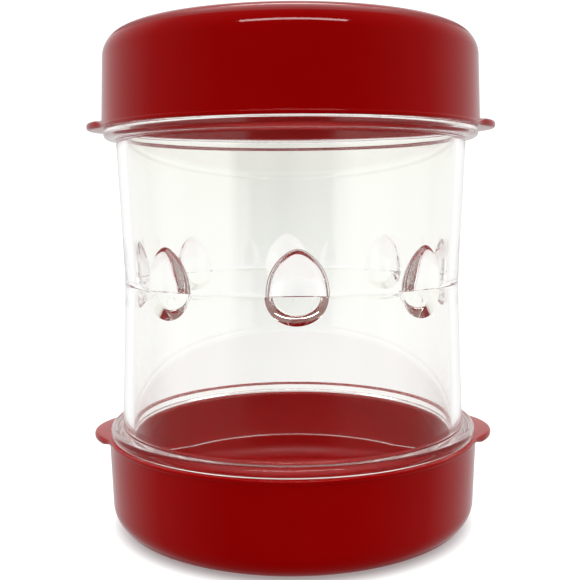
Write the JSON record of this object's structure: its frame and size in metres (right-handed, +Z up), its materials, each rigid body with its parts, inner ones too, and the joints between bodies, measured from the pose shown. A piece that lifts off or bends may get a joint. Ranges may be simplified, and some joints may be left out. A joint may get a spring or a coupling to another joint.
{
  "type": "shaker for peeling boiled eggs",
  "caption": "Clear hourglass tube with a belt of egg-shaped nubs inside, closed at both ends by glossy red press-on caps with pull tabs; shaken with water to peel a boiled egg.",
  "frame": {"origin": "centre of the bottom cap's underside, on the surface the part stands on", "axes": "+Z up along the tube's axis; the pull tabs point along +X and -X; one nub is on the -Y side"},
  "size_m": [0.0898, 0.0826, 0.1075],
  "materials": {
    "red_plastic": "glossy, opaque, moulded",
    "clear_plastic": "clear, polished, moulded"
  },
  "bodies": {
    "bottom_cap": {"bottom_cap": "red_plastic"},
    "tube": {"peeling_tube": "clear_plastic"},
    "top_cap": {"top_cap": "red_plastic"}
  },
  "joints": [
    {"name": "tube_pull", "type": "slide", "parent": "bottom_cap", "child": "tube", "axis": [0, 0, 1], "range_m": [0, 0.04]},
    {"name": "top_cap_pull", "type": "slide", "parent": "tube", "child": "top_cap", "axis": [0, 0, 1], "range_m": [0, 0.04]}
  ]
}
